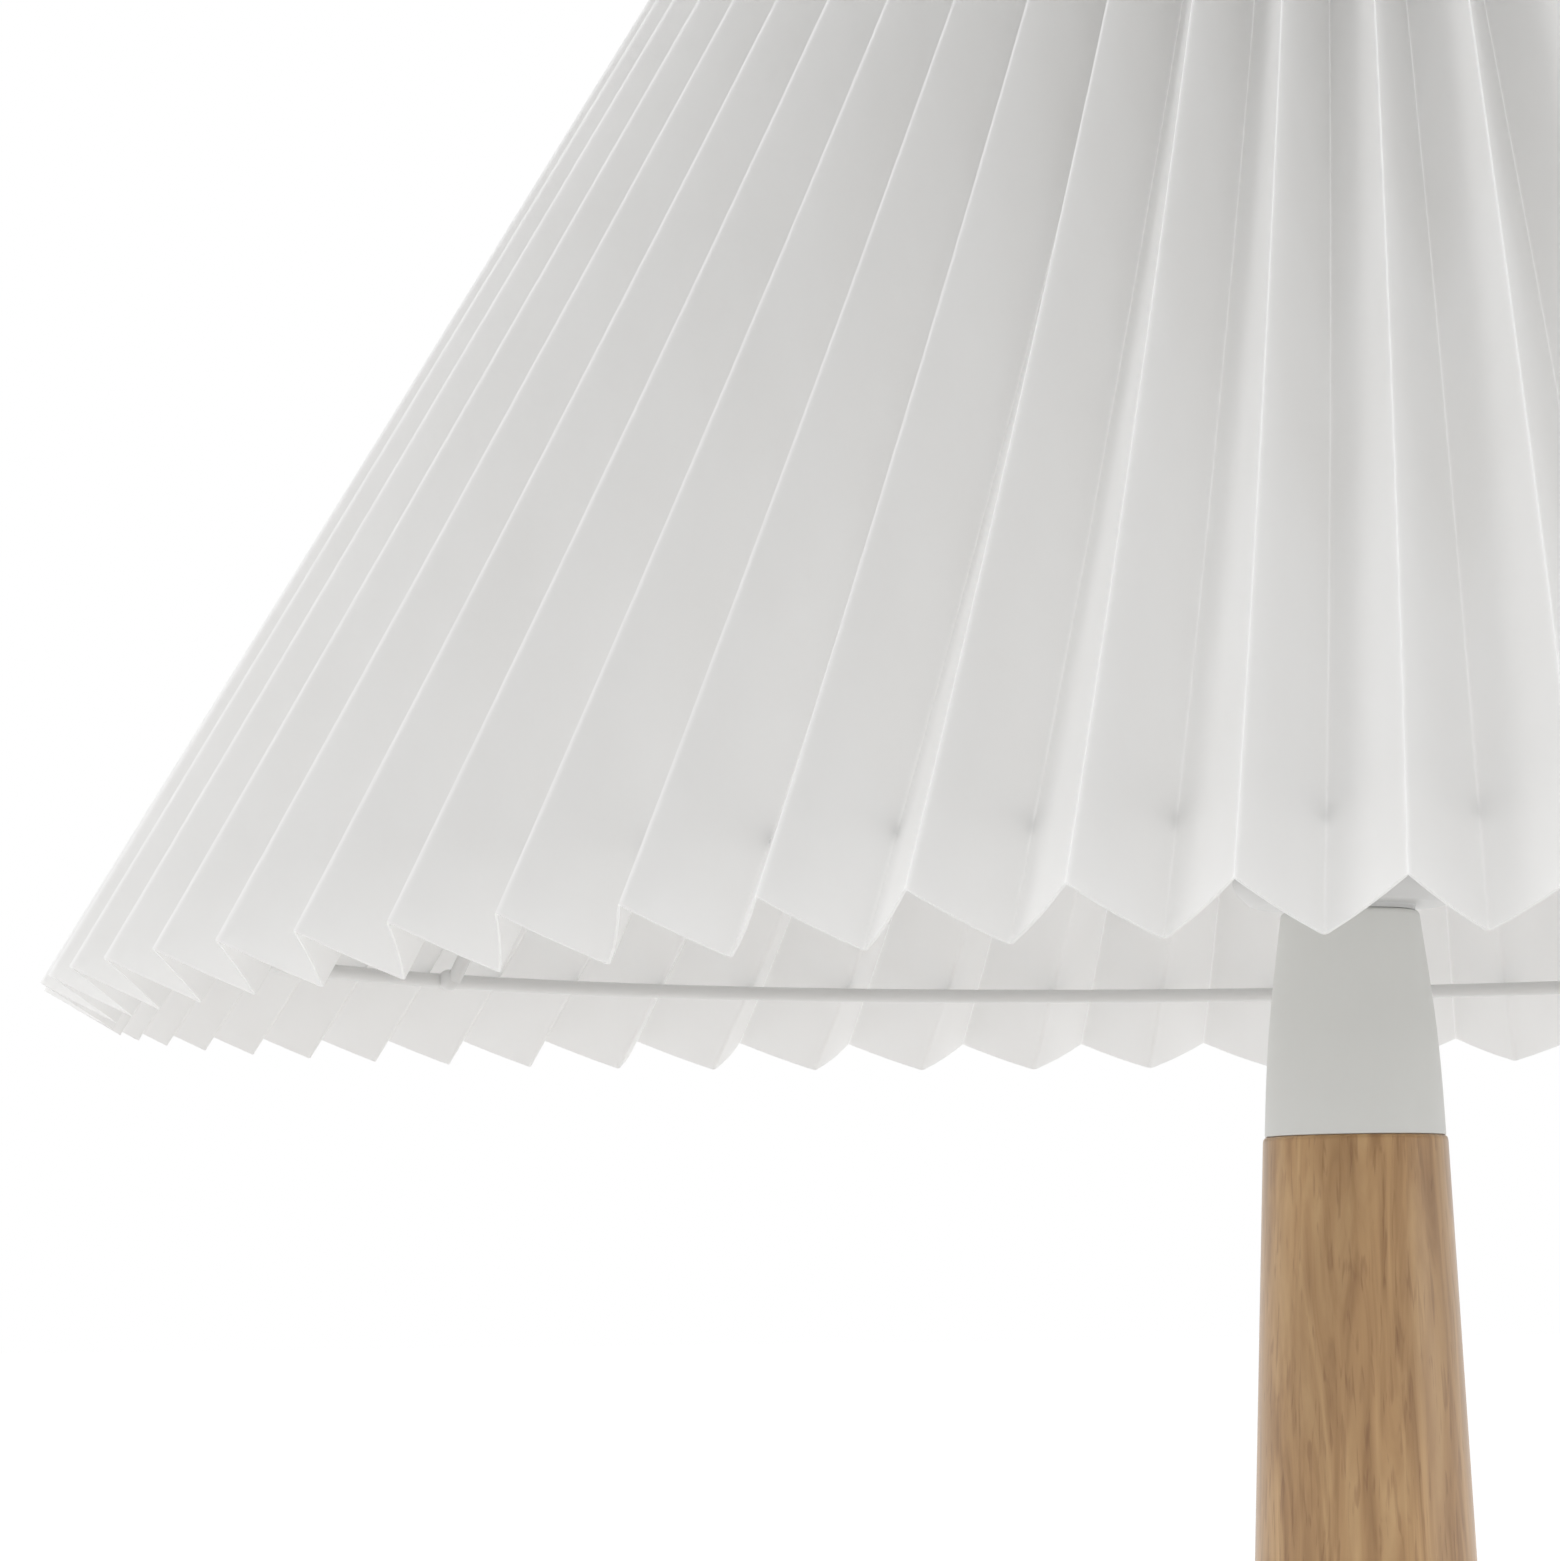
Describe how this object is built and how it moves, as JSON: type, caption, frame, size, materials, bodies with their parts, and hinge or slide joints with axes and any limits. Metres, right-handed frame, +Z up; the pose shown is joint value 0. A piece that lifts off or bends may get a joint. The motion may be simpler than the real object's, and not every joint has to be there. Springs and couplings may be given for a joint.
{
  "type": "pleated table lamp",
  "caption": "Table lamp with a turned wooden foot and tapered stem, a white metal collar and a wide pleated paper shade on a wire carrier.",
  "frame": {"origin": "centre of the felt pad's underside, where the lamp stands", "axes": "+Z up along the stem, +Y towards the back where the cord leaves the foot, +X to the right as the picture sees it"},
  "size_m": [0.45, 0.4498, 0.566],
  "materials": {
    "felt": "felt",
    "wood": "satin lacquered light oak",
    "steel": "zinc plated",
    "white_metal": "satin white powder coat",
    "white_plastic": "moulded white",
    "ceramic": "glazed",
    "brass": "bright",
    "white_wire": "white coated steel wire",
    "paper": "matt laminated paper",
    "opal_glass": "frosted",
    "dark_glass": "moulded black"
  },
  "bodies": {
    "stand": {"felt_pad": "felt", "base_disc": "wood", "ballast_plate": "steel", "ballast_screws": "steel", "cord_bush": "white_plastic", "rod_nut": "steel", "rod_washer": "steel", "threaded_rod": "steel", "stem": "wood", "collar": "white_metal", "holder_washer": "steel", "lampholder_cap": "white_plastic", "lampholder_shell": "white_plastic", "lampholder_insulator": "ceramic", "terminal_screws": "brass", "screw_sleeve": "brass", "centre_contact": "brass", "seat_ring": "white_plastic"},
    "shade": {"fitter_ring": "white_wire", "lower_ring": "white_wire", "top_ring": "white_wire", "pleated_shade": "paper", "side_strut_1": "white_wire", "side_strut_2": "white_wire", "side_strut_3": "white_wire", "spider_arm_1": "white_wire", "spider_arm_2": "white_wire", "spider_arm_3": "white_wire"},
    "retaining_ring": {"retaining_ring": "white_plastic"},
    "bulb": {"bulb_contact": "steel", "bulb_insulator": "dark_glass", "bulb_cap": "steel", "bulb_glass": "opal_glass"}
  },
  "joints": [
    {"name": "shade_turn", "type": "hinge", "parent": "stand", "child": "shade", "pos_m": [0, 0, 0.3752], "axis": [0, 0, 1], "continuous": true},
    {"name": "retaining_ring_turn", "type": "hinge", "parent": "stand", "child": "retaining_ring", "pos_m": [0, 0, 0.3806], "axis": [0, 0, 1], "continuous": true},
    {"name": "bulb_lift", "type": "slide", "parent": "stand", "child": "bulb", "axis": [0, 0, 1], "range_m": [0, 0.03]}
  ]
}
